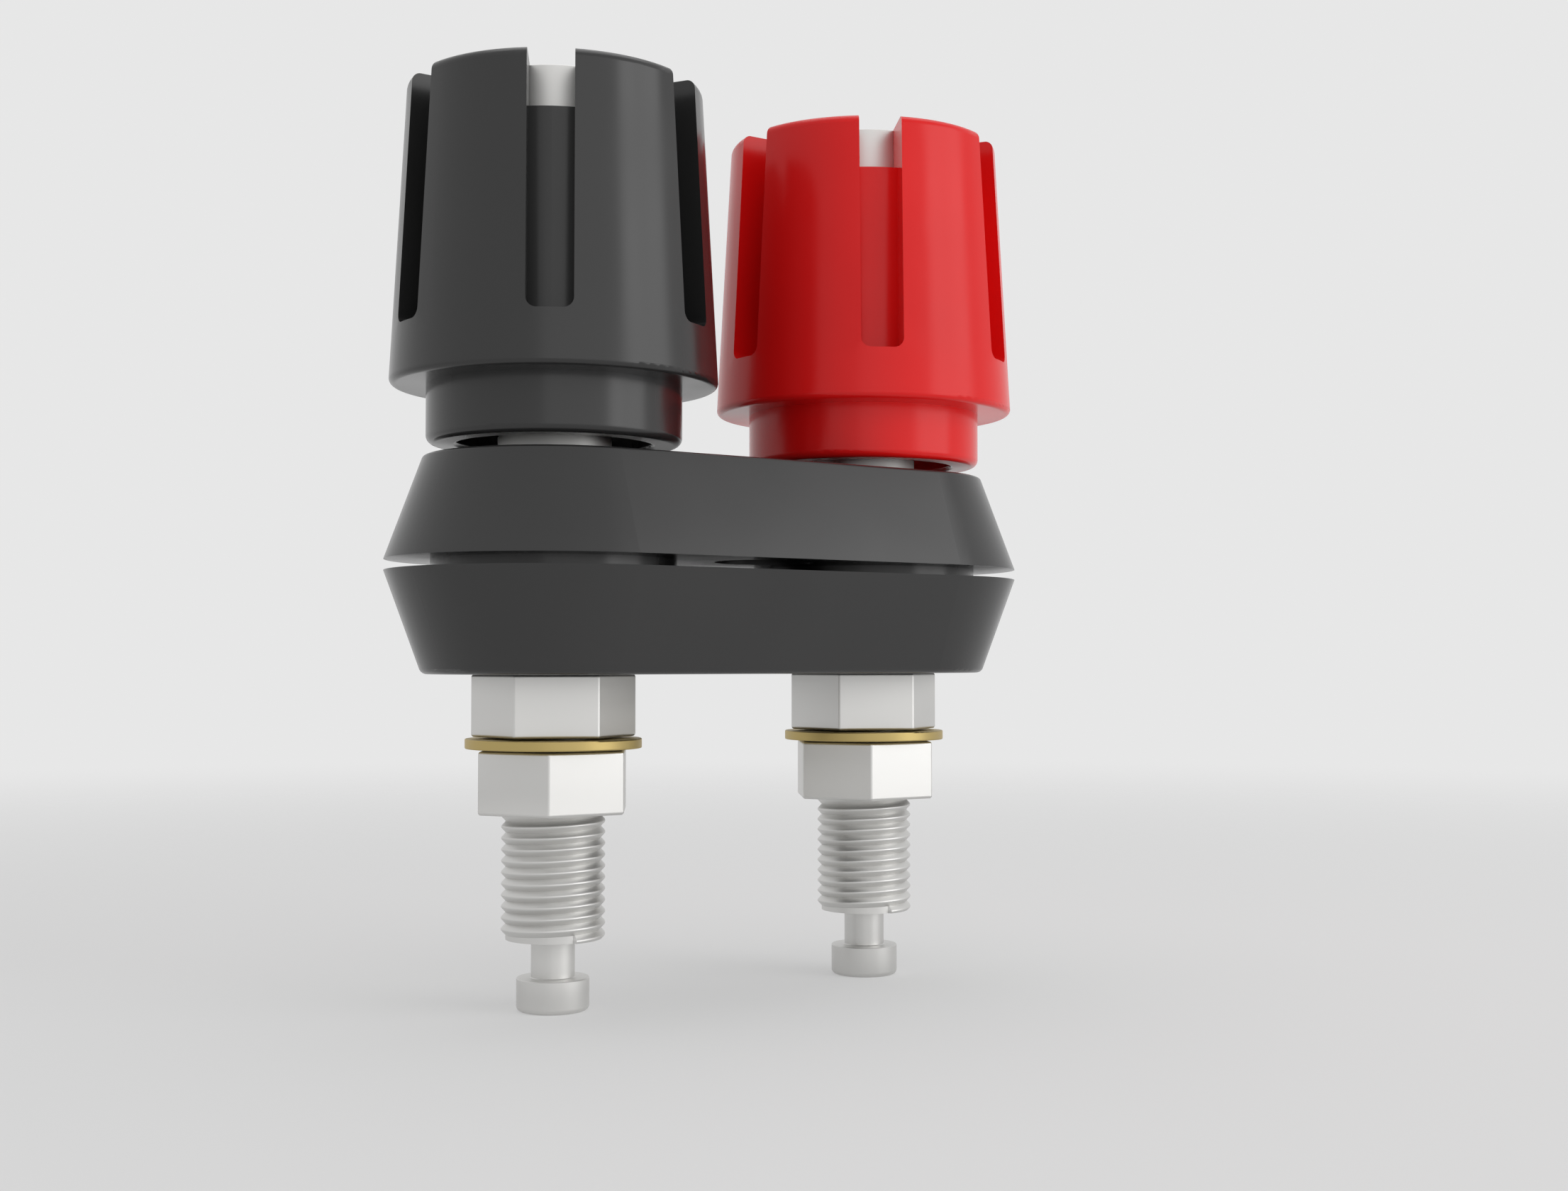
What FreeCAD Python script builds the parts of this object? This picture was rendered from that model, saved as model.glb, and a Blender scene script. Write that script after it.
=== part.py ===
import FreeCAD, Part
import math
import os

# Dual binding post: a black and a red screw terminal on one pair of insulators.
# Millimetres. +Z runs up through the posts, +X from the black post to the red one.
# The origin lies midway between the posts, on the front face of the panel.

# Layout
POST_SPACING = 19.05
PANEL_GAP = 0.55

# Insulators, whose outline is a stadium about both posts
SEAT_RADIUS = 8.22
UPPER_HEIGHT = 5.0
UPPER_TOP_RADIUS = 6.38
UPPER_EDGE = 0.2
LOWER_HEIGHT = 5.02
LOWER_END_RADIUS = 6.40
LOWER_EDGE = 0.4
BOSS_RADIUS = 6.0
RECESS_RADIUS = 2.5
RECESS_OFFSET = 4.3
RECESS_DEPTH = 1.2

# Lower thread of the stud, and the nuts and washer on it
THREAD_RADIUS = 2.525
THREAD_FREE_LENGTH = 6.1
THREAD_END_CHAMFER = 0.05
NUT_SIDES = 6
NUT_ACROSS_FLATS = 6.95
NUT_HEIGHT = 3.05
NUT_EDGE = 0.15
NUT_LEAD_IN = 0.3
MOUNTING_NUT_ANGLE = 34.0
TERMINAL_NUT_ANGLE = 58.5
TERMINAL_WASHER_RADIUS = 4.3
TERMINAL_WASHER_THICKNESS = 0.48
TERMINAL_WASHER_EDGE = 0.06

# Solder turret at the tip of the stud
TURRET_NECK_RADIUS = 1.065
TURRET_NECK_LENGTH = 1.88
TURRET_HEAD_RADIUS = 1.77
TURRET_HEAD_LENGTH = 1.6
TURRET_HEAD_EDGE = 0.25

# Collar of the stud, which two flats keep from turning in the upper insulator
COLLAR_RADIUS = 4.3
COLLAR_HALF_FLATS = 3.6
COLLAR_HEIGHT = 1.6
COLLAR_RISE = 0.2

# Upper part of the stud: knob thread, wire hole and plug socket
KNOB_THREAD_RADIUS = 2.78
WIRE_HOLE_RADIUS = 1.1
WIRE_HOLE_RISE = 0.85
SOCKET_RADIUS = 2.0
SOCKET_DEPTH = 15.3
SOCKET_MOUTH = 0.4
DRILL_POINT_ANGLE = 118.0
STUD_ABOVE_RING = 0.8

# Retaining ring in its groove near the top of the stud
RING_RADIUS = 3.4
RING_THICKNESS = 0.5
RING_SPLIT = 0.9
GROOVE_RADIUS = 2.5

# Knob, at the height that the posts are shown at
KNOB_GAP = 0.62
KNOB_HEIGHT = 17.6
KNOB_NECK_RADIUS = 6.25
KNOB_NECK_HEIGHT = 2.83
KNOB_FLANGE_INSET = 0.18
KNOB_TOP_RADIUS = 7.22
KNOB_NECK_EDGE = 0.4
KNOB_FLANGE_EDGE = 0.3
KNOB_TOP_EDGE = 0.45
KNOB_TRAVEL = 3.9
SKIRT_BORE_RADIUS = 4.75
SKIRT_BORE_EDGE = 0.2
SKIRT_DEPTH = 1.6
SLOT_COUNT = 6
SLOT_WIDTH = 2.2
SLOT_CORNER = 0.5
SLOT_BOTTOM = 5.43
SLOT_FLOOR_RADIUS = 5.8
WINDOW_HEIGHT = 2.4

# Metal insert of the knob
INSERT_RADIUS = 4.34
INSERT_STOP_HEIGHT = 8.4
INSERT_THREAD_START = 3.9
INSERT_TOP_BORE_RADIUS = 3.5
INSERT_LOW_BORE_RADIUS = 3.1
INSERT_TOP_EDGE = 0.05
LOCK_GROOVE_COUNT = 2
LOCK_GROOVE_WIDTH = 0.8
LOCK_GROOVE_PITCH = 2.0
LOCK_GROOVE_START = 2.9
LOCK_GROOVE_DEPTH = 0.25

# Clamp washer, which turns freely on the insert's rolled spigot
CLAMP_WASHER_RADIUS = 4.6
CLAMP_WASHER_THICKNESS = 0.6
CLAMP_WASHER_EDGE = 0.08
SPIGOT_RADIUS = 3.75
SPIGOT_LIP = 0.25
SPIGOT_SHORT = 0.05

# Clearances
THREAD_CLEARANCE = 0.05
STUD_HOLE_CLEARANCE = 0.1
WASHER_CLEARANCE = 0.1
SEAT_CLEARANCE = 0.05
MOULD_CLEARANCE = 0.02
TERMINAL_SLACK = 0.08
STOP_CLEARANCE = 0.05

# Sizes and heights that follow from those above
KNOB_FLANGE_RADIUS = SEAT_RADIUS - KNOB_FLANGE_INSET
LOWER_TOP_Z = -PANEL_GAP
LOWER_END_Z = LOWER_TOP_Z - LOWER_HEIGHT
MOUNTING_NUT_Z = LOWER_END_Z - NUT_HEIGHT
TERMINAL_WASHER_Z = MOUNTING_NUT_Z - TERMINAL_SLACK - TERMINAL_WASHER_THICKNESS
TERMINAL_NUT_Z = TERMINAL_WASHER_Z - TERMINAL_SLACK - NUT_HEIGHT
THREAD_END_Z = TERMINAL_NUT_Z - THREAD_FREE_LENGTH
TURRET_HEAD_Z = THREAD_END_Z - TURRET_NECK_LENGTH
TIP_Z = TURRET_HEAD_Z - TURRET_HEAD_LENGTH
COLLAR_TOP_Z = UPPER_HEIGHT + COLLAR_RISE
COLLAR_SEAT_Z = COLLAR_TOP_Z - COLLAR_HEIGHT
WIRE_HOLE_Z = COLLAR_TOP_Z + WIRE_HOLE_RISE + WIRE_HOLE_RADIUS
KNOB_Z = UPPER_HEIGHT + KNOB_GAP
KNOB_TOP_Z = KNOB_Z + KNOB_HEIGHT
INSERT_Z = KNOB_Z + SKIRT_DEPTH
INSERT_STOP_Z = KNOB_Z + INSERT_STOP_HEIGHT
RING_Z = INSERT_STOP_Z + KNOB_TRAVEL + STOP_CLEARANCE
STUD_TOP_Z = RING_Z + RING_THICKNESS + STUD_ABOVE_RING
SOCKET_END_Z = STUD_TOP_Z - SOCKET_DEPTH

SMALL = 1e-4
OVERRUN = 1.0
CENTRE = FreeCAD.Vector(0, 0, 0)
UP = FreeCAD.Vector(0, 0, 1)
POSTS = {"black": -POST_SPACING / 2, "red": POST_SPACING / 2}


def turned(points):
    """Solid of revolution about +Z from the (radius, height) corners of half a section."""
    corners = [FreeCAD.Vector(radius, 0, height) for radius, height in points + points[:1]]
    return Part.Face(Part.makePolygon(corners)).revolve(CENTRE, UP, 360)


def rod(radius, low, high):
    """Upright cylinder between two heights on the post's axis."""
    return Part.makeCylinder(radius, high - low, FreeCAD.Vector(0, 0, low))


def slab(width, depth, low, high):
    """Upright block between two heights, centred on the post's axis."""
    return Part.makeBox(width, depth, high - low, FreeCAD.Vector(-width / 2, -depth / 2, low))


def circles_at(shape, radius, height):
    """Circular edges of one radius that lie at one height."""
    found = []
    for edge in shape.Edges:
        curve = edge.Curve
        if isinstance(curve, Part.Circle) and abs(curve.Radius - radius) < SMALL:
            if abs(curve.Center.z - height) < SMALL:
                found.append(edge)
    return found


def edges_at(shape, height):
    """Edges that lie flat at one height."""
    return [edge for edge in shape.Edges
            if abs(edge.BoundBox.ZMin - height) < SMALL and abs(edge.BoundBox.ZMax - height) < SMALL]


def turned_about(shape, angle):
    """Copy of a shape turned about its post's axis, in degrees."""
    copy = shape.copy()
    copy.rotate(CENTRE, UP, angle)
    return copy


def moved(shape, x, y=0.0):
    """Copy of a shape moved across the panel."""
    copy = shape.copy()
    copy.translate(FreeCAD.Vector(x, y, 0))
    return copy


def tapered_stadium(low, low_radius, high, high_radius):
    """Block about both posts whose outline keeps one radius at each height."""
    half = POST_SPACING / 2
    height = high - low
    section = [(-low_radius, low), (low_radius, low), (high_radius, high), (-high_radius, high)]
    corners = [FreeCAD.Vector(-half, y, z) for y, z in section + section[:1]]
    block = Part.Face(Part.makePolygon(corners)).extrude(FreeCAD.Vector(POST_SPACING, 0, 0))
    for side, start in ((half, -90), (-half, 90)):
        end = Part.makeCone(low_radius, high_radius, height, CENTRE, UP, 180)
        end.rotate(CENTRE, UP, start)
        end.translate(FreeCAD.Vector(side, 0, low))
        block = block.fuse(end)
    return block.removeSplitter()


def at_both_posts(shape):
    """The same tool on each post's axis."""
    return [moved(shape, x) for x in POSTS.values()]


def collar_blank(gap):
    """Collar with two flats, grown by a gap for the pocket that it sits in."""
    disc = rod(COLLAR_RADIUS + gap, COLLAR_SEAT_Z, COLLAR_TOP_Z)
    flats = slab(4 * COLLAR_RADIUS, 2 * (COLLAR_HALF_FLATS + gap), COLLAR_SEAT_Z, COLLAR_TOP_Z)
    return disc.common(flats)


def upper_insulator():
    """Tapered block with a round boss about each stud, a collar pocket and two round recesses."""
    block = tapered_stadium(0, SEAT_RADIUS, UPPER_HEIGHT, UPPER_TOP_RADIUS)
    block = block.makeFillet(UPPER_EDGE, edges_at(block, UPPER_HEIGHT))
    block = block.fuse(at_both_posts(rod(BOSS_RADIUS, -PANEL_GAP, UPPER_HEIGHT / 2)))
    shank_hole = rod(THREAD_RADIUS + STUD_HOLE_CLEARANCE, -PANEL_GAP - OVERRUN, UPPER_HEIGHT)
    recess = rod(RECESS_RADIUS, -OVERRUN, RECESS_DEPTH)
    recesses = [moved(recess, 0, side * RECESS_OFFSET) for side in (-1, 1)]
    tools = at_both_posts(shank_hole) + at_both_posts(collar_blank(SEAT_CLEARANCE)) + recesses
    return block.cut(tools).removeSplitter()


def lower_insulator():
    """Tapered block that narrows away from the panel, with a hole for each stud."""
    block = tapered_stadium(LOWER_END_Z, LOWER_END_RADIUS, LOWER_TOP_Z, SEAT_RADIUS)
    block = block.makeFillet(LOWER_EDGE, edges_at(block, LOWER_END_Z))
    hole = rod(THREAD_RADIUS + STUD_HOLE_CLEARANCE, LOWER_END_Z - OVERRUN, LOWER_TOP_Z + OVERRUN)
    return block.cut(at_both_posts(hole)).removeSplitter()


def stud():
    """Turned post: turret, lower thread, collar, knob thread, socket bore and wire hole."""
    low, high = THREAD_END_Z, STUD_TOP_Z
    chamfer = THREAD_END_CHAMFER
    body = turned([
        (0, TIP_Z), (TURRET_HEAD_RADIUS, TIP_Z), (TURRET_HEAD_RADIUS, TURRET_HEAD_Z),
        (TURRET_NECK_RADIUS, TURRET_HEAD_Z), (TURRET_NECK_RADIUS, low),
        (THREAD_RADIUS - chamfer, low), (THREAD_RADIUS, low + chamfer),
        (THREAD_RADIUS, COLLAR_SEAT_Z), (KNOB_THREAD_RADIUS, COLLAR_SEAT_Z),
        (KNOB_THREAD_RADIUS, RING_Z), (GROOVE_RADIUS, RING_Z),
        (GROOVE_RADIUS, RING_Z + RING_THICKNESS), (KNOB_THREAD_RADIUS, RING_Z + RING_THICKNESS),
        (KNOB_THREAD_RADIUS, high), (0, high)])
    body = body.makeFillet(TURRET_HEAD_EDGE, circles_at(body, TURRET_HEAD_RADIUS, TIP_Z))
    body = body.fuse(collar_blank(0)).removeSplitter()
    point = SOCKET_RADIUS / math.tan(math.radians(DRILL_POINT_ANGLE / 2))
    socket = turned([
        (0, SOCKET_END_Z - point), (SOCKET_RADIUS, SOCKET_END_Z),
        (SOCKET_RADIUS, high - SOCKET_MOUTH), (SOCKET_RADIUS + SOCKET_MOUTH + OVERRUN, high + OVERRUN),
        (0, high + OVERRUN)])
    reach = 2 * COLLAR_RADIUS
    wire_hole = Part.makeCylinder(WIRE_HOLE_RADIUS, 2 * reach,
                                  FreeCAD.Vector(0, -reach, WIRE_HOLE_Z), FreeCAD.Vector(0, 1, 0))
    return body.cut([socket, wire_hole])


def retaining_ring():
    """Split snap ring that sits in the stud's groove."""
    ring = rod(RING_RADIUS, RING_Z, RING_Z + RING_THICKNESS)
    hole = rod(GROOVE_RADIUS, RING_Z - OVERRUN, RING_Z + RING_THICKNESS + OVERRUN)
    split = Part.makeBox(2 * RING_RADIUS, RING_SPLIT, RING_THICKNESS,
                         FreeCAD.Vector(0, -RING_SPLIT / 2, RING_Z))
    return ring.cut([hole, split])


def hex_nut(base, angle):
    """Hexagonal nut with softened edges and a lead-in at each end of its bore."""
    corner = NUT_ACROSS_FLATS / 2 / math.cos(math.pi / NUT_SIDES)
    top = base + NUT_HEIGHT
    corners = []
    for side in range(NUT_SIDES + 1):
        turn = math.radians(360 / NUT_SIDES * side + angle)
        corners.append(FreeCAD.Vector(corner * math.cos(turn), corner * math.sin(turn), base))
    blank = Part.Face(Part.makePolygon(corners)).extrude(FreeCAD.Vector(0, 0, NUT_HEIGHT))
    blank = blank.makeFillet(NUT_EDGE, blank.Edges)
    bore = THREAD_RADIUS + THREAD_CLEARANCE
    wide = bore + NUT_LEAD_IN
    tool = turned([
        (0, base - OVERRUN), (wide, base - OVERRUN), (wide, base), (bore, base + NUT_LEAD_IN),
        (bore, top - NUT_LEAD_IN), (wide, top), (wide, top + OVERRUN), (0, top + OVERRUN)])
    return blank.cut(tool)


def terminal_washer():
    """Thin brass washer between the two nuts."""
    low, high = TERMINAL_WASHER_Z, TERMINAL_WASHER_Z + TERMINAL_WASHER_THICKNESS
    disc = rod(TERMINAL_WASHER_RADIUS, low, high)
    disc = disc.makeFillet(TERMINAL_WASHER_EDGE, edges_at(disc, low) + edges_at(disc, high))
    return disc.cut(rod(THREAD_RADIUS + WASHER_CLEARANCE, low - OVERRUN, high + OVERRUN))


def insert_blank(gap):
    """Outside of the knob's insert with its lock grooves, grown by a gap for the cap's bore."""
    blank = rod(INSERT_RADIUS + gap, INSERT_Z - gap, KNOB_TOP_Z)
    for number in range(LOCK_GROOVE_COUNT):
        low = INSERT_Z + LOCK_GROOVE_START + number * LOCK_GROOVE_PITCH
        high = low + LOCK_GROOVE_WIDTH
        groove = rod(INSERT_RADIUS + OVERRUN, low + gap, high - gap)
        core = rod(INSERT_RADIUS - LOCK_GROOVE_DEPTH + gap, low - OVERRUN, high + OVERRUN)
        blank = blank.cut(groove.cut(core))
    return blank


def knob_insert():
    """Metal sleeve with a spigot whose rolled lip holds the clamp washer."""
    low = INSERT_Z - CLAMP_WASHER_THICKNESS + SPIGOT_SHORT
    spigot = turned([
        (0, low), (SPIGOT_RADIUS + SPIGOT_LIP, low), (SPIGOT_RADIUS, low + SPIGOT_LIP),
        (SPIGOT_RADIUS, INSERT_Z + OVERRUN), (0, INSERT_Z + OVERRUN)])
    sleeve = insert_blank(0)
    sleeve = sleeve.makeFillet(INSERT_TOP_EDGE, circles_at(sleeve, INSERT_RADIUS, KNOB_TOP_Z))
    thread = KNOB_THREAD_RADIUS + THREAD_CLEARANCE
    thread_start = KNOB_Z + INSERT_THREAD_START
    inside = turned([
        (0, low - OVERRUN), (INSERT_LOW_BORE_RADIUS, low - OVERRUN),
        (INSERT_LOW_BORE_RADIUS, thread_start), (thread, thread_start), (thread, INSERT_STOP_Z),
        (INSERT_TOP_BORE_RADIUS, INSERT_STOP_Z), (INSERT_TOP_BORE_RADIUS, KNOB_TOP_Z + OVERRUN),
        (0, KNOB_TOP_Z + OVERRUN)])
    return sleeve.fuse(spigot).cut(inside).removeSplitter()


def clamp_washer():
    """Flat ring with a countersunk underside that clears the spigot's lip."""
    high = INSERT_Z
    low = high - CLAMP_WASHER_THICKNESS
    disc = rod(CLAMP_WASHER_RADIUS, low, high)
    disc = disc.makeFillet(CLAMP_WASHER_EDGE, edges_at(disc, low) + edges_at(disc, high))
    bore = SPIGOT_RADIUS + SEAT_CLEARANCE
    sink = SPIGOT_LIP + SPIGOT_SHORT
    tool = turned([
        (0, low - OVERRUN), (bore + sink, low - OVERRUN), (bore + sink, low), (bore, low + sink),
        (bore, high + OVERRUN), (0, high + OVERRUN)])
    return disc.cut(tool)


def slot_tool():
    """One flute: parallel sides, round lower corners and a round floor below the window."""
    half = SLOT_WIDTH / 2
    low, high = KNOB_Z + SLOT_BOTTOM, KNOB_TOP_Z + OVERRUN
    turn = SLOT_CORNER * (1 - math.sqrt(0.5))

    def point(across, height):
        return FreeCAD.Vector(0, across, height)

    outline = [
        Part.makeLine(point(-half, high), point(-half, low + SLOT_CORNER)),
        Part.Arc(point(-half, low + SLOT_CORNER), point(-half + turn, low + turn),
                 point(-half + SLOT_CORNER, low)).toShape(),
        Part.makeLine(point(-half + SLOT_CORNER, low), point(half - SLOT_CORNER, low)),
        Part.Arc(point(half - SLOT_CORNER, low), point(half - turn, low + turn),
                 point(half, low + SLOT_CORNER)).toShape(),
        Part.makeLine(point(half, low + SLOT_CORNER), point(half, high)),
        Part.makeLine(point(half, high), point(-half, high))]
    reach = KNOB_FLANGE_RADIUS + OVERRUN
    flute = Part.Face(Part.Wire(outline)).extrude(FreeCAD.Vector(reach, 0, 0))
    return flute.cut(rod(SLOT_FLOOR_RADIUS, low - OVERRUN, KNOB_TOP_Z - WINDOW_HEIGHT))


def knob_cap():
    """Fluted tapered knob with a reduced neck, moulded round the insert."""
    flange_z = KNOB_Z + KNOB_NECK_HEIGHT
    body = turned([
        (0, KNOB_Z), (KNOB_NECK_RADIUS, KNOB_Z), (KNOB_NECK_RADIUS, flange_z),
        (KNOB_FLANGE_RADIUS, flange_z), (KNOB_TOP_RADIUS, KNOB_TOP_Z), (0, KNOB_TOP_Z)])
    for edge, radius, height in ((KNOB_NECK_EDGE, KNOB_NECK_RADIUS, KNOB_Z),
                                 (KNOB_FLANGE_EDGE, KNOB_FLANGE_RADIUS, flange_z),
                                 (KNOB_TOP_EDGE, KNOB_TOP_RADIUS, KNOB_TOP_Z)):
        body = body.makeFillet(edge, circles_at(body, radius, height))
    body = body.cut(rod(SKIRT_BORE_RADIUS, KNOB_Z - OVERRUN, INSERT_Z))
    body = body.makeFillet(SKIRT_BORE_EDGE, circles_at(body, SKIRT_BORE_RADIUS, KNOB_Z))
    flute = slot_tool()
    flutes = [turned_about(flute, 360 / SLOT_COUNT * number) for number in range(SLOT_COUNT)]
    return body.cut([insert_blank(MOULD_CLEARANCE)] + flutes)


def save(name, shape):
    """Writes one piece and reports its size."""
    if not shape.isValid() or len(shape.Solids) != 1:
        raise ValueError(name + " is not one valid solid")
    shape.exportStep("parts/" + name + ".step")
    print(name, round(shape.Volume, 2), "mm3")


def main():
    """Builds every piece and writes it where it belongs on its post."""
    os.makedirs("parts", exist_ok=True)
    save("upper_insulator", upper_insulator())
    save("lower_insulator", lower_insulator())
    pieces = {
        "stud": stud(),
        "retaining_ring": retaining_ring(),
        "clamp_washer": clamp_washer(),
        "knob_insert": knob_insert(),
        "knob_cap": knob_cap(),
        "mounting_nut": hex_nut(MOUNTING_NUT_Z, MOUNTING_NUT_ANGLE),
        "terminal_washer": terminal_washer(),
        "terminal_nut": hex_nut(TERMINAL_NUT_Z, TERMINAL_NUT_ANGLE)}
    for colour, x in POSTS.items():
        for name, shape in pieces.items():
            save(colour + "_" + name, moved(shape, x))


main()
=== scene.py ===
"""Looks of a dual binding post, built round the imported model, with a small studio."""

from __future__ import annotations

import logging
import math
from dataclasses import dataclass, field
from enum import Enum

import bmesh
import bpy
from mathutils import Matrix, Vector


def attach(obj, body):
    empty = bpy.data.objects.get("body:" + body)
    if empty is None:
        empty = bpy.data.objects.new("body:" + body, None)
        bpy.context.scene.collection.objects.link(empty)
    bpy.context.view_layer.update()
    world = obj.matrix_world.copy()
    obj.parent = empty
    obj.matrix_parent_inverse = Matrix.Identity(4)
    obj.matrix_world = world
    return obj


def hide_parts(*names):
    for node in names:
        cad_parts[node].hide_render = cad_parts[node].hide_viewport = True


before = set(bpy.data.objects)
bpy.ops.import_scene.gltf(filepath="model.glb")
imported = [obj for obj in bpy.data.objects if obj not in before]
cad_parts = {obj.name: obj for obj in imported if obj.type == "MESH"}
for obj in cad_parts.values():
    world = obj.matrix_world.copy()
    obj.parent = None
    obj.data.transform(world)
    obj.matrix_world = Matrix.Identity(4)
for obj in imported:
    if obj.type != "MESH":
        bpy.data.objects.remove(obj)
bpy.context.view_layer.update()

LOG = logging.getLogger("binding_post")
MM = 0.001
Colour = tuple[float, float, float]
Place = tuple[float, float, float]
Stretch = tuple[float, float, float]
Profile = list[tuple[float, float]]

POST_SPACING = 19.05
NICKEL_PLATE = (0.66, 0.655, 0.64)

# A finish is at one of its two ends where its noise is at or past these values.
NOISE_LOW = 0.3
NOISE_HIGH = 0.7

# A thread's groove is deepest this many pitches from the crests beside it.
HALF_PITCH = 0.5

# A thread's rows start this many ridges below the first, so that every column has a row at the low end.
RIDGES_BELOW = 2


class Slot(Enum):
    """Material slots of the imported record."""

    INSULATOR = "insulator_plastic"
    BLACK = "black_plastic"
    RED = "red_plastic"
    NICKEL = "nickel"
    BRASS = "brass"
    SPRING = "spring_steel"


class Post(Enum):
    """The two posts, by the colour of their knobs, with the place of each across the panel in mm."""

    BLACK = -POST_SPACING / 2
    RED = POST_SPACING / 2

    @property
    def prefix(self) -> str:
        """First word of the post's node names."""
        return self.name.lower()


class Lay(Enum):
    """Direction that the tool marks of a metal surface run in, as the noise scale per axis."""

    TURNED = (60.0, 60.0, 5200.0)
    DRAWN = (2600.0, 2600.0, 220.0)
    ROLLED = (900.0, 3200.0, 3200.0)


class Desk:
    """Node tree of one new material, with a shader already joined to its output."""

    def __init__(self, name: str) -> None:
        """Makes the material.

        Args:
            name: Name of the material.
        """
        self.material = bpy.data.materials.new(name)
        self.material.use_nodes = True
        self.tree = self.material.node_tree
        self.tree.nodes.clear()
        self.output = self.tree.nodes.new("ShaderNodeOutputMaterial")
        self.shader = self.tree.nodes.new("ShaderNodeBsdfPrincipled")
        self.tree.links.new(self.shader.outputs["BSDF"], self.output.inputs["Surface"])
        self.place = self.tree.nodes.new("ShaderNodeTexCoord").outputs["Object"]

    def noise(
        self, scale: float = 1.0, detail: float = 1.0, stretch: Stretch = (1.0, 1.0, 1.0)
    ) -> bpy.types.NodeSocket:
        """Adds a noise over the piece's own coordinates.

        Args:
            scale: Number of cells per metre.
            detail: Octaves of finer noise.
            stretch: Scale per axis, for marks that run in one direction.

        Returns:
            The noise's value socket.
        """
        mapping = self.tree.nodes.new("ShaderNodeMapping")
        mapping.inputs["Scale"].default_value = stretch
        noise = self.tree.nodes.new("ShaderNodeTexNoise")
        noise.inputs["Scale"].default_value = scale
        noise.inputs["Detail"].default_value = detail
        self.tree.links.new(self.place, mapping.inputs["Vector"])
        self.tree.links.new(mapping.outputs["Vector"], noise.inputs["Vector"])
        return noise.outputs["Fac"]

    def blend(self, factor: bpy.types.NodeSocket, colour: Colour, shade: float) -> None:
        """Drives the base colour between a darker and a lighter shade of one colour.

        Args:
            factor: Socket that picks between them.
            colour: The colour half-way.
            shade: Share by which the two ends are darker and lighter.
        """
        ramp = self.tree.nodes.new("ShaderNodeValToRGB")
        dark, light = ramp.color_ramp.elements
        for element, position, share in ((dark, NOISE_LOW, 1 - shade), (light, NOISE_HIGH, 1 + shade)):
            element.position = position
            element.color = (colour[0] * share, colour[1] * share, colour[2] * share, 1.0)
        self.tree.links.new(factor, ramp.inputs["Fac"])
        self.tree.links.new(ramp.outputs["Color"], self.shader.inputs["Base Color"])

    def roughen(self, factor: bpy.types.NodeSocket, smooth: float, dull: float) -> None:
        """Drives the roughness between two values.

        Args:
            factor: Socket that picks between them.
            smooth: Roughness at the noise's low end.
            dull: Roughness at its high end.
        """
        span = self.tree.nodes.new("ShaderNodeMapRange")
        span.inputs["From Min"].default_value = NOISE_LOW
        span.inputs["From Max"].default_value = NOISE_HIGH
        span.inputs["To Min"].default_value = smooth
        span.inputs["To Max"].default_value = dull
        self.tree.links.new(factor, span.inputs["Value"])
        self.tree.links.new(span.outputs["Result"], self.shader.inputs["Roughness"])

    def emboss(self, height: bpy.types.NodeSocket, strength: float, depth_mm: float) -> None:
        """Adds a bump to the surface.

        Args:
            height: Socket with the bump's height.
            strength: Strength of the bump.
            depth_mm: Height of the bump in mm.
        """
        bump = self.tree.nodes.new("ShaderNodeBump")
        bump.inputs["Strength"].default_value = strength
        bump.inputs["Distance"].default_value = depth_mm * MM
        self.tree.links.new(height, bump.inputs["Height"])
        self.tree.links.new(bump.outputs["Normal"], self.shader.inputs["Normal"])


@dataclass(frozen=True)
class MouldedPlastic:
    """Glossy moulded plastic with a faint mould grain and slow changes of shade."""

    name: str
    slot: Slot
    colour: Colour
    shade: float = 0.05
    smooth: float = 0.2
    dull: float = 0.26
    cloud_mm: float = 9.0
    sheen_mm: float = 5.0
    grain_mm: float = 0.7
    grain_detail: float = 2.0
    grain_strength: float = 0.05
    grain_depth_mm: float = 0.004
    index: float = 1.5
    gloss: float = 0.5

    def material(self) -> bpy.types.Material:
        """Makes the finish's material.

        Returns:
            The material.
        """
        desk = Desk(self.name)
        grain = desk.noise(1 / (self.grain_mm * MM), self.grain_detail)
        desk.blend(desk.noise(1 / (self.cloud_mm * MM)), self.colour, self.shade)
        desk.roughen(desk.noise(1 / (self.sheen_mm * MM)), self.smooth, self.dull)
        desk.emboss(grain, self.grain_strength, self.grain_depth_mm)
        desk.shader.inputs["IOR"].default_value = self.index
        desk.shader.inputs["Specular IOR Level"].default_value = self.gloss
        return desk.material


@dataclass(frozen=True)
class BareMetal:
    """Plated or plain metal with faint tool marks and cloudy handling marks."""

    name: str
    slot: Slot
    colour: Colour
    lay: Lay
    shade: float = 0.06
    smooth: float = 0.38
    dull: float = 0.47
    cloud: Stretch = (80.0, 80.0, 420.0)
    marks_strength: float = 0.06
    marks_depth_mm: float = 0.004

    def material(self) -> bpy.types.Material:
        """Makes the finish's material.

        Returns:
            The material.
        """
        desk = Desk(self.name)
        cloud = desk.noise(stretch=self.cloud)
        desk.blend(cloud, self.colour, self.shade)
        desk.roughen(cloud, self.smooth, self.dull)
        desk.emboss(desk.noise(stretch=self.lay.value), self.marks_strength, self.marks_depth_mm)
        desk.shader.inputs["Metallic"].default_value = 1.0
        return desk.material


Finish = MouldedPlastic | BareMetal


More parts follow.
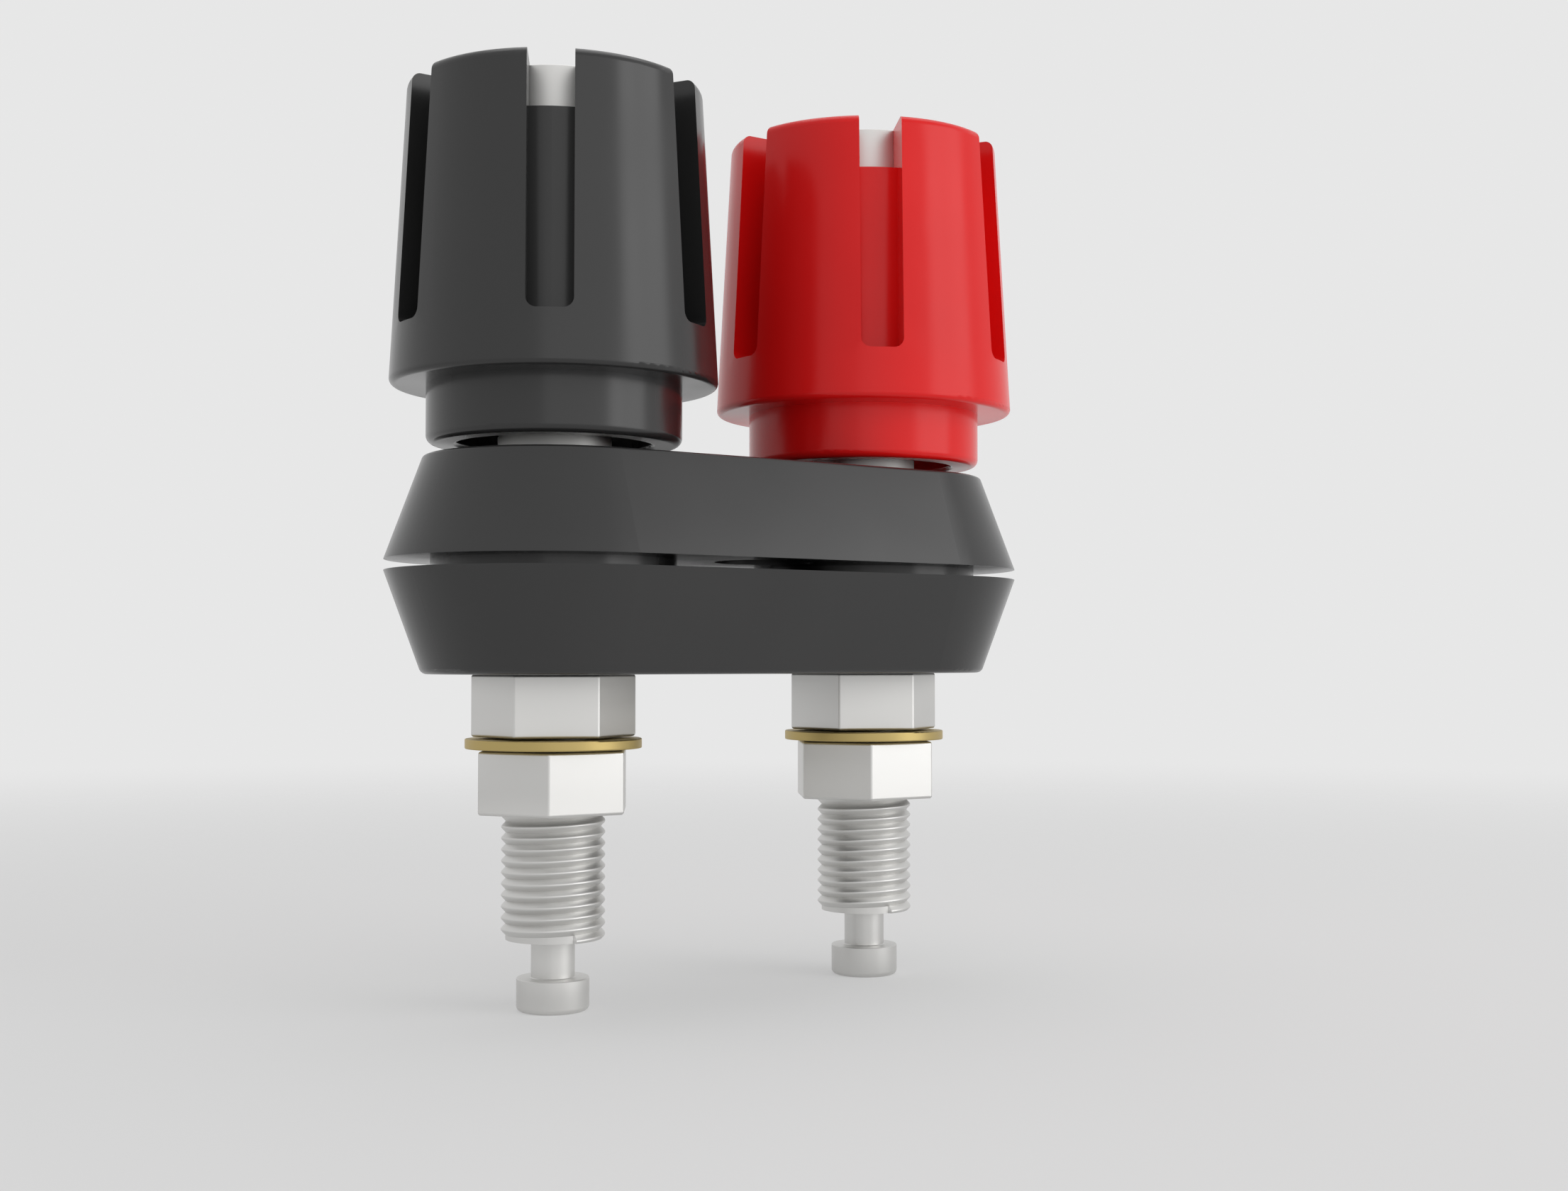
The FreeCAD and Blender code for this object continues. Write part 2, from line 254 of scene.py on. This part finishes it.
@dataclass
class FinishRack:
    """Every finish of the object, each made once and shared."""

    insulator: Finish = MouldedPlastic("moulded_black_insulator", Slot.INSULATOR, (0.030, 0.030, 0.030))
    black: Finish = MouldedPlastic("moulded_black_knob", Slot.BLACK, (0.023, 0.023, 0.023))
    red: Finish = MouldedPlastic("moulded_red_knob", Slot.RED, (0.80, 0.008, 0.008), gloss=0.3)
    turned: Finish = BareMetal("nickel_plated_turned", Slot.NICKEL, NICKEL_PLATE, Lay.TURNED)
    drawn: Finish = BareMetal("nickel_plated_nut", Slot.NICKEL, NICKEL_PLATE, Lay.DRAWN)
    brass: Finish = BareMetal(
        "rolled_brass", Slot.BRASS, (0.50, 0.385, 0.155), Lay.ROLLED, smooth=0.4, dull=0.5)
    spring: Finish = BareMetal(
        "spring_steel", Slot.SPRING, (0.45, 0.45, 0.45), Lay.TURNED, smooth=0.25, dull=0.33)
    made: dict[str, bpy.types.Material] = field(default_factory=dict)

    def get(self, finish: Finish) -> bpy.types.Material:
        """Gives a finish's material and makes it the first time.

        Args:
            finish: The finish that is wanted.

        Returns:
            Its material.
        """
        if finish.name not in self.made:
            self.made[finish.name] = finish.material()
        return self.made[finish.name]

    def dress(self, node: str, finish: Finish) -> None:
        """Gives a CAD node its finish.

        Args:
            node: Name of the CAD node.
            finish: The finish that it gets.
        """
        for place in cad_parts[node].material_slots:
            place.material = self.get(finish)
        LOG.info("dressed %s in %s, slot %s", node, finish.name, finish.slot.value)


def linked(name: str, data: bpy.types.ID) -> bpy.types.Object:
    """Makes an object and puts it in the scene.

    Args:
        name: Name of the object.
        data: Its mesh, lamp or camera.

    Returns:
        The object.
    """
    piece = bpy.data.objects.new(name, data)
    bpy.context.scene.collection.objects.link(piece)
    return piece


def meshed(name: str, shape: bmesh.types.BMesh) -> bpy.types.Object:
    """Turns a finished shape into an object of the scene.

    Args:
        name: Name of the object and its mesh.
        shape: The shape, which is freed.

    Returns:
        The object.
    """
    mesh = bpy.data.meshes.new(name)
    shape.to_mesh(mesh)
    shape.free()
    return linked(name, mesh)


@dataclass(frozen=True)
class Thread:
    """One right-handed thread on a stud, in mm, whose ridge starts at its low end and has a rounded crest.

    The crest's bend is a share of the pitch, and the ridge's run-in a share of a turn.
    """

    crest: float
    pitch: float
    depth: float
    low: float
    high: float
    first_ridge: float
    bend: float = 0.13
    run_in: float = 0.007

    def radius(self, turn: float, height: float) -> float:
        """Radius of the threaded surface at one place.

        Args:
            turn: Share of a turn from where the ridge starts, 0 to 1.
            height: Height in mm.

        Returns:
            The radius in mm.
        """
        ridge = (height - self.first_ridge) / self.pitch - turn
        nearest = max(0, round(ridge))
        away = min(abs(ridge - nearest), HALF_PITCH)
        # The surface falls as a parabola over the crest's bend, and then as a straight flank.
        fall = away - self.bend / 2 if away > self.bend else away * away / (2 * self.bend)
        flank = fall / (HALF_PITCH - self.bend / 2)
        # The first ridge grows to its full height over the run-in.
        full = min(1.0, turn / self.run_in) if nearest == 0 else 1.0
        return self.crest - self.depth * (1 - full * (1 - flank))

    def heights(self, turn: float) -> list[float]:
        """Heights of the mesh rows at one column, which follow the ridge round the stud.

        Args:
            turn: Share of a turn from where the ridge starts, 0 to 1.

        Returns:
            Heights in mm, kept between the thread's two ends.
        """
        steps = (-self.bend, -self.bend / 2, 0.0, self.bend / 2, self.bend, HALF_PITCH)
        ridges = range(-RIDGES_BELOW, math.ceil((self.high - self.first_ridge) / self.pitch) + 1)
        places = [ridge + turn + step for ridge in ridges for step in steps]
        return [min(max(self.first_ridge + self.pitch * place, self.low), self.high) for place in places]


@dataclass
class ThreadedStud:
    """The post's turned stud, in mm: solder turret, two threads, flatted collar, socket and wire hole."""

    post: Post

    # The mesh is a grid of even columns round the axis, from start_angle, where the threads' ridges start.
    # A column nearer to an exact one than merge_turn is left out, and points nearer than weld are joined.
    columns: int = 96
    merge_turn: float = 0.002
    weld: float = 0.0001
    crease: float = math.radians(30)
    start_angle: float = math.radians(-94.0)

    # Solder turret, round at its tip's edge, and the lower thread. Other edges are cut back by soft.
    tip: float = -21.89
    head_radius: float = 1.77
    head_top: float = -20.29
    head_edge: float = 0.25
    edge_steps: int = 5
    neck_radius: float = 1.065
    soft: float = 0.04
    shank: Thread = Thread(crest=2.525, pitch=0.55, depth=0.22, low=-18.41, high=-4.8, first_ridge=-18.31)

    # Collar, and half the distance between its flats.
    collar_radius: float = 4.3
    collar_flats: float = 3.6
    collar_low: float = 3.6
    collar_top: float = 5.2

    # Upper thread, whose relief slopes in over run_out, and above it the ring groove on a full-width land.
    run_out: float = 0.1
    upper: Thread = Thread(crest=2.78, pitch=0.75, depth=0.3, low=6.1, high=17.4, first_ridge=6.45)
    land: float = 0.2
    land_slope: float = 0.05
    groove_radius: float = 2.5
    groove_low: float = 17.97
    groove_high: float = 18.47
    top: float = 19.27

    # Plug socket with its flared mouth and the drill's point below it, and the wire hole across the stud.
    socket_radius: float = 2.0
    socket_end: float = 3.97
    mouth: float = 0.4
    drill_point: float = 1.2017
    hole_radius: float = 1.1
    hole_height: float = 7.15
    drill_length: float = 12.0
    drill_facets: int = 48

    def turns(self) -> list[float]:
        """Chooses where the mesh columns stand.

        Returns:
            Shares of a turn in order, from 0 to 1.
        """
        corner = math.asin(self.collar_flats / self.collar_radius)
        corners = (corner, math.pi - corner, math.pi + corner, math.tau - corner)
        # Columns have to stand at both sides of the seam, at the run-in's end and at the flats' corners.
        exact = [0.0, self.shank.run_in, 1.0]
        exact += [((angle - self.start_angle) % math.tau) / math.tau for angle in corners]
        even = [step / self.columns for step in range(self.columns)]
        clear = [turn for turn in even if min(abs(turn - other) for other in exact) > self.merge_turn]
        return sorted(exact + clear)

    def collar(self, angle: float) -> float:
        """Radius of the collar at one angle, less where a flat cuts it.

        Args:
            angle: Angle round the post's axis.

        Returns:
            The radius in mm.
        """
        across = abs(math.sin(angle))
        if across * self.collar_radius > self.collar_flats:
            return self.collar_flats / across
        return self.collar_radius

    def low_outline(self) -> Profile:
        """Half section of the solder turret, from the tip's centre up to the shank's end face.

        Returns:
            Radii and heights in mm.
        """
        edge = self.head_edge
        soft = self.soft
        points = [(0.0, self.tip)]
        for step in range(self.edge_steps + 1):
            turn = math.pi / 2 * step / self.edge_steps
            radius = self.head_radius - edge + edge * math.sin(turn)
            points.append((radius, self.tip + edge - edge * math.cos(turn)))
        points += [(self.head_radius, self.head_top - soft), (self.head_radius - soft, self.head_top)]
        points += [(self.neck_radius + soft, self.head_top), (self.neck_radius, self.head_top + soft)]
        points += [(self.neck_radius, self.shank.low - soft), (self.neck_radius + soft, self.shank.low)]
        return points

    def middle_outline(self, angle: float) -> Profile:
        """Half section between the two threads at one angle: plain shank, collar and plain neck.

        Args:
            angle: Angle round the post's axis.

        Returns:
            Radii and heights in mm.
        """
        flat = self.collar(angle)
        soft = self.soft
        return [
            (self.shank.crest, self.shank.high), (self.shank.crest, self.collar_low),
            (flat - soft, self.collar_low), (flat, self.collar_low + soft),
            (flat, self.collar_top - soft), (flat - soft, self.collar_top),
            (self.upper.crest, self.collar_top), (self.upper.crest, self.upper.low - self.run_out)]

    def high_outline(self) -> Profile:
        """Half section above the upper thread: ring groove, mouth, socket and drill point.

        Returns:
            Radii and heights in mm.
        """
        crest = self.upper.crest
        soft = self.soft
        relief = crest - self.upper.depth
        land_low = self.groove_low - self.land
        return [
            (relief, self.upper.high), (relief, land_low - self.land_slope), (crest, land_low),
            (crest, self.groove_low - soft), (crest - soft, self.groove_low),
            (self.groove_radius, self.groove_low), (self.groove_radius, self.groove_high),
            (crest - soft, self.groove_high), (crest, self.groove_high + soft),
            (crest, self.top - 2 * soft), (crest - 2 * soft, self.top),
            (self.socket_radius + self.mouth, self.top), (self.socket_radius, self.top - self.mouth),
            (self.socket_radius, self.socket_end), (0.0, self.socket_end - self.drill_point)]

    def column(self, turn: float, angle: float) -> list[Place]:
        """Places of the grid's points at one column, from the tip's centre to the drill point.

        Args:
            turn: Share of a turn from where the threads' ridges start, 0 to 1.
            angle: Angle round the post's axis.

        Returns:
            The places in metres.
        """
        outline = self.low_outline()
        outline += [(self.shank.radius(turn, height), height) for height in self.shank.heights(turn)]
        outline += self.middle_outline(angle)
        outline += [(self.upper.radius(turn, height), height) for height in self.upper.heights(turn)]
        outline += self.high_outline()
        centre = self.post.value
        return [((centre + radius * math.cos(angle)) * MM, radius * math.sin(angle) * MM, height * MM)
                for radius, height in outline]

    def turned(self) -> bpy.types.Object:
        """Makes the stud before its wire hole is drilled.

        Returns:
            The object, in place on its post.
        """
        shape = bmesh.new()
        grid = []
        for turn in self.turns():
            column = self.column(turn, self.start_angle + math.tau * turn)
            grid.append([shape.verts.new(place) for place in column])
        for column, following in zip(grid, grid[1:]):
            for row in range(len(column) - 1):
                shape.faces.new((column[row], following[row], following[row + 1], column[row + 1]))
        bmesh.ops.remove_doubles(shape, verts=shape.verts, dist=self.weld * MM)
        bmesh.ops.recalc_face_normals(shape, faces=shape.faces)
        return meshed(self.post.prefix + "_turned_stud", shape)

    def drill(self) -> bpy.types.Object:
        """Makes the tool that cuts the wire hole across the stud.

        Returns:
            A round bar along +Y, through the post at the hole's height.
        """
        shape = bmesh.new()
        place = Matrix.Translation((self.post.value * MM, 0, self.hole_height * MM))
        radius = self.hole_radius * MM
        bmesh.ops.create_cone(
            shape, cap_ends=True, segments=self.drill_facets, radius1=radius, radius2=radius,
            depth=self.drill_length * MM, matrix=place @ Matrix.Rotation(math.pi / 2, 4, "X"))
        return meshed(self.post.prefix + "_drill", shape)

    def build(self, rack: FinishRack) -> bpy.types.Object:
        """Makes the stud, drills it and lets it stand for the CAD one.

        Args:
            rack: The finishes.

        Returns:
            The finished piece.
        """
        blank = self.turned()
        tool = self.drill()
        cut = blank.modifiers.new("wire_hole", "BOOLEAN")
        cut.operation = "DIFFERENCE"
        cut.solver = "EXACT"
        cut.object = tool
        bpy.context.view_layer.update()
        mesh = bpy.data.meshes.new_from_object(blank.evaluated_get(bpy.context.evaluated_depsgraph_get()))
        mesh.name = self.post.prefix + "_threaded_stud"
        for spare in (blank, tool):
            bpy.data.objects.remove(spare)
        for face in mesh.polygons:
            face.use_smooth = True
        mesh.set_sharp_from_angle(angle=self.crease)
        mesh.materials.clear()
        mesh.materials.append(rack.get(rack.turned))
        piece = linked(mesh.name, mesh)
        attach(piece, "fixed")
        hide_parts(self.post.prefix + "_stud")
        LOG.info("%s: %d faces", piece.name, len(mesh.polygons))
        return piece


@dataclass
class BindingPost:
    """One post: its stud and the finishes of the knob, washers, nuts and ring on it."""

    post: Post

    def build(self, rack: FinishRack) -> None:
        """Makes the stud and dresses the post's CAD nodes.

        Args:
            rack: The finishes.
        """
        ThreadedStud(self.post).build(rack)
        finishes = {
            "knob_cap": rack.black if self.post is Post.BLACK else rack.red,
            "knob_insert": rack.turned,
            "clamp_washer": rack.turned,
            "mounting_nut": rack.drawn,
            "terminal_nut": rack.drawn,
            "terminal_washer": rack.brass,
            "retaining_ring": rack.spring}
        for name, finish in finishes.items():
            rack.dress(self.post.prefix + "_" + name, finish)


@dataclass
class Insulators:
    """The pair of stadium-shaped insulators that both posts share."""

    nodes: tuple[str, ...] = ("upper_insulator", "lower_insulator")

    def build(self, rack: FinishRack) -> None:
        """Dresses both insulators.

        Args:
            rack: The finishes.
        """
        for node in self.nodes:
            rack.dress(node, rack.insulator)


@dataclass(frozen=True)
class Softbox:
    """One flat studio lamp that looks at the frame's origin, with its place and size in mm."""

    name: str
    place: Place
    width: float
    height: float
    power: float

    def build(self) -> None:
        """Puts the lamp in its place."""
        lamp = bpy.data.lights.new(self.name, "AREA")
        lamp.shape = "RECTANGLE"
        lamp.size = self.width * MM
        lamp.size_y = self.height * MM
        lamp.energy = self.power
        piece = linked(self.name, lamp)
        piece.location = Vector(self.place) * MM
        piece.rotation_mode = "QUATERNION"
        piece.rotation_quaternion = (-Vector(self.place)).to_track_quat("-Z", "Y")
        LOG.info("lamp %s", self.name)


def seen_by_eye(tree: bpy.types.NodeTree) -> bpy.types.NodeSocket:
    """Adds a switch that is 1 for what the camera or a reflection shows and 0 for other light.

    Args:
        tree: Node tree of the floor or the world.

    Returns:
        The switch's value socket.
    """
    path = tree.nodes.new("ShaderNodeLightPath")
    either = tree.nodes.new("ShaderNodeMath")
    either.operation = "MAXIMUM"
    tree.links.new(path.outputs["Is Camera Ray"], either.inputs[0])
    tree.links.new(path.outputs["Is Glossy Ray"], either.inputs[1])
    return either.outputs["Value"]


@dataclass
class Studio:
    """Pale floor that fades into a pale backdrop, lamps, and the camera of the photo, in mm and degrees."""

    # Floor, and the distances between which it fades.
    floor_height: float = ThreadedStud.tip
    floor_radius: float = 900.0
    floor_facets: int = 96
    floor_colour: Colour = (0.82, 0.82, 0.82)
    floor_dull: float = 0.9
    floor_gloss: float = 0.1
    fade_start: float = 50.0
    fade_end: float = 240.0

    # Tone of the backdrop, its share in the floor's look, and the light from all round.
    pale: Colour = (0.80, 0.80, 0.80)
    own_pale: float = 0.4
    light_colour: Colour = (1.0, 1.0, 1.0)
    ambient: float = 0.5

    # Camera, as worked out from the photo's edges.
    eye: Place = (-53.67, -82.71, -4.96)
    yaw: float = 34.987
    pitch: float = 1.9875
    roll: float = 0.025
    lens: float = 43.63
    sensor: float = 36.0
    near_clip: float = 5.0

    lamps: tuple[Softbox, ...] = (
        Softbox("key_softbox", (160.0, -210.0, 5.0), width=180.0, height=360.0, power=0.31),
        Softbox("front_softbox", (-20.0, -270.0, 10.0), width=380.0, height=380.0, power=0.18),
        Softbox("top_softbox", (20.0, 10.0, 260.0), width=240.0, height=240.0, power=0.16))

    def floor(self) -> None:
        """Lays the floor under the posts' tips, see-through far from them."""
        shape = bmesh.new()
        bmesh.ops.create_circle(
            shape, cap_ends=True, segments=self.floor_facets, radius=self.floor_radius * MM,
            matrix=Matrix.Translation((0, 0, self.floor_height * MM)))
        floor = meshed("studio_floor", shape)
        floor.data.materials.append(self.floor_material())

    def floor_look(self, desk: Desk) -> bpy.types.NodeSocket:
        """Adds the floor's pale matt surface, which the eye sees with some of the backdrop's own tone.

        Args:
            desk: The floor's material.

        Returns:
            The surface's shader socket.
        """
        desk.shader.inputs["Base Color"].default_value = (*self.floor_colour, 1.0)
        desk.shader.inputs["Roughness"].default_value = self.floor_dull
        desk.shader.inputs["Specular IOR Level"].default_value = self.floor_gloss
        glow = desk.tree.nodes.new("ShaderNodeEmission")
        glow.inputs["Color"].default_value = (*self.pale, 1.0)
        share = desk.tree.nodes.new("ShaderNodeMath")
        share.operation = "MULTIPLY"
        share.inputs[1].default_value = self.own_pale
        shown = desk.tree.nodes.new("ShaderNodeMixShader")
        desk.tree.links.new(seen_by_eye(desk.tree), share.inputs[0])
        desk.tree.links.new(share.outputs["Value"], shown.inputs["Fac"])
        desk.tree.links.new(desk.shader.outputs["BSDF"], shown.inputs[1])
        desk.tree.links.new(glow.outputs["Emission"], shown.inputs[2])
        return shown.outputs["Shader"]

    def floor_fade(self, desk: Desk) -> bpy.types.NodeSocket:
        """Adds how see-through the floor is, from 0 near the object to 1 far from it.

        Args:
            desk: The floor's material.

        Returns:
            The share's value socket.
        """
        length = desk.tree.nodes.new("ShaderNodeVectorMath")
        length.operation = "LENGTH"
        span = desk.tree.nodes.new("ShaderNodeMapRange")
        span.interpolation_type = "SMOOTHSTEP"
        span.inputs["From Min"].default_value = self.fade_start * MM
        span.inputs["From Max"].default_value = self.fade_end * MM
        desk.tree.links.new(desk.place, length.inputs[0])
        desk.tree.links.new(length.outputs["Value"], span.inputs["Value"])
        return span.outputs["Result"]

    def floor_material(self) -> bpy.types.Material:
        """Makes the floor's material, which fades into the backdrop towards its rim.

        Returns:
            The material.
        """
        desk = Desk("studio_floor")
        clear = desk.tree.nodes.new("ShaderNodeBsdfTransparent")
        mix = desk.tree.nodes.new("ShaderNodeMixShader")
        desk.tree.links.new(self.floor_fade(desk), mix.inputs["Fac"])
        desk.tree.links.new(self.floor_look(desk), mix.inputs[1])
        desk.tree.links.new(clear.outputs["BSDF"], mix.inputs[2])
        desk.tree.links.new(mix.outputs["Shader"], desk.output.inputs["Surface"])
        return desk.material

    def backdrop(self) -> None:
        """Makes the world: a pale backdrop for what is seen, and plain soft light from all round."""
        world = bpy.data.worlds.new("studio_backdrop")
        bpy.context.scene.world = world
        world.use_nodes = True
        tree = world.node_tree
        tree.nodes.clear()
        output = tree.nodes.new("ShaderNodeOutputWorld")
        seen = tree.nodes.new("ShaderNodeBackground")
        seen.inputs["Color"].default_value = (*self.pale, 1.0)
        light = tree.nodes.new("ShaderNodeBackground")
        light.inputs["Color"].default_value = (*self.light_colour, 1.0)
        light.inputs["Strength"].default_value = self.ambient
        mix = tree.nodes.new("ShaderNodeMixShader")
        tree.links.new(seen_by_eye(tree), mix.inputs["Fac"])
        tree.links.new(light.outputs["Background"], mix.inputs[1])
        tree.links.new(seen.outputs["Background"], mix.inputs[2])
        tree.links.new(mix.outputs["Shader"], output.inputs["Surface"])

    def camera(self) -> None:
        """Sets up the camera where the photo was taken from."""
        data = bpy.data.cameras.new("photo_camera")
        data.lens = self.lens
        data.sensor_width = self.sensor
        data.sensor_fit = "HORIZONTAL"
        data.clip_start = self.near_clip * MM
        camera = linked("photo_camera", data)
        place = Matrix.Translation(Vector(self.eye) * MM)
        yaw = Matrix.Rotation(math.radians(-self.yaw), 4, "Z")
        pitch = Matrix.Rotation(math.radians(90 + self.pitch), 4, "X")
        roll = Matrix.Rotation(math.radians(-self.roll), 4, "Z")
        camera.matrix_world = place @ (yaw @ pitch) @ roll
        bpy.context.scene.camera = camera

    def build(self) -> None:
        """Makes the camera, the floor, the backdrop and the lamps."""
        bpy.context.scene.view_settings.view_transform = "Standard"
        self.camera()
        self.floor()
        self.backdrop()
        for lamp in self.lamps:
            lamp.build()


def main() -> None:
    """Builds and dresses every piece, then the studio."""
    logging.basicConfig(level=logging.INFO, format="%(name)s: %(message)s")
    rack = FinishRack()
    Insulators().build(rack)
    for post in Post:
        BindingPost(post).build(rack)
    Studio().build()


if __name__ == "__main__":
    main()
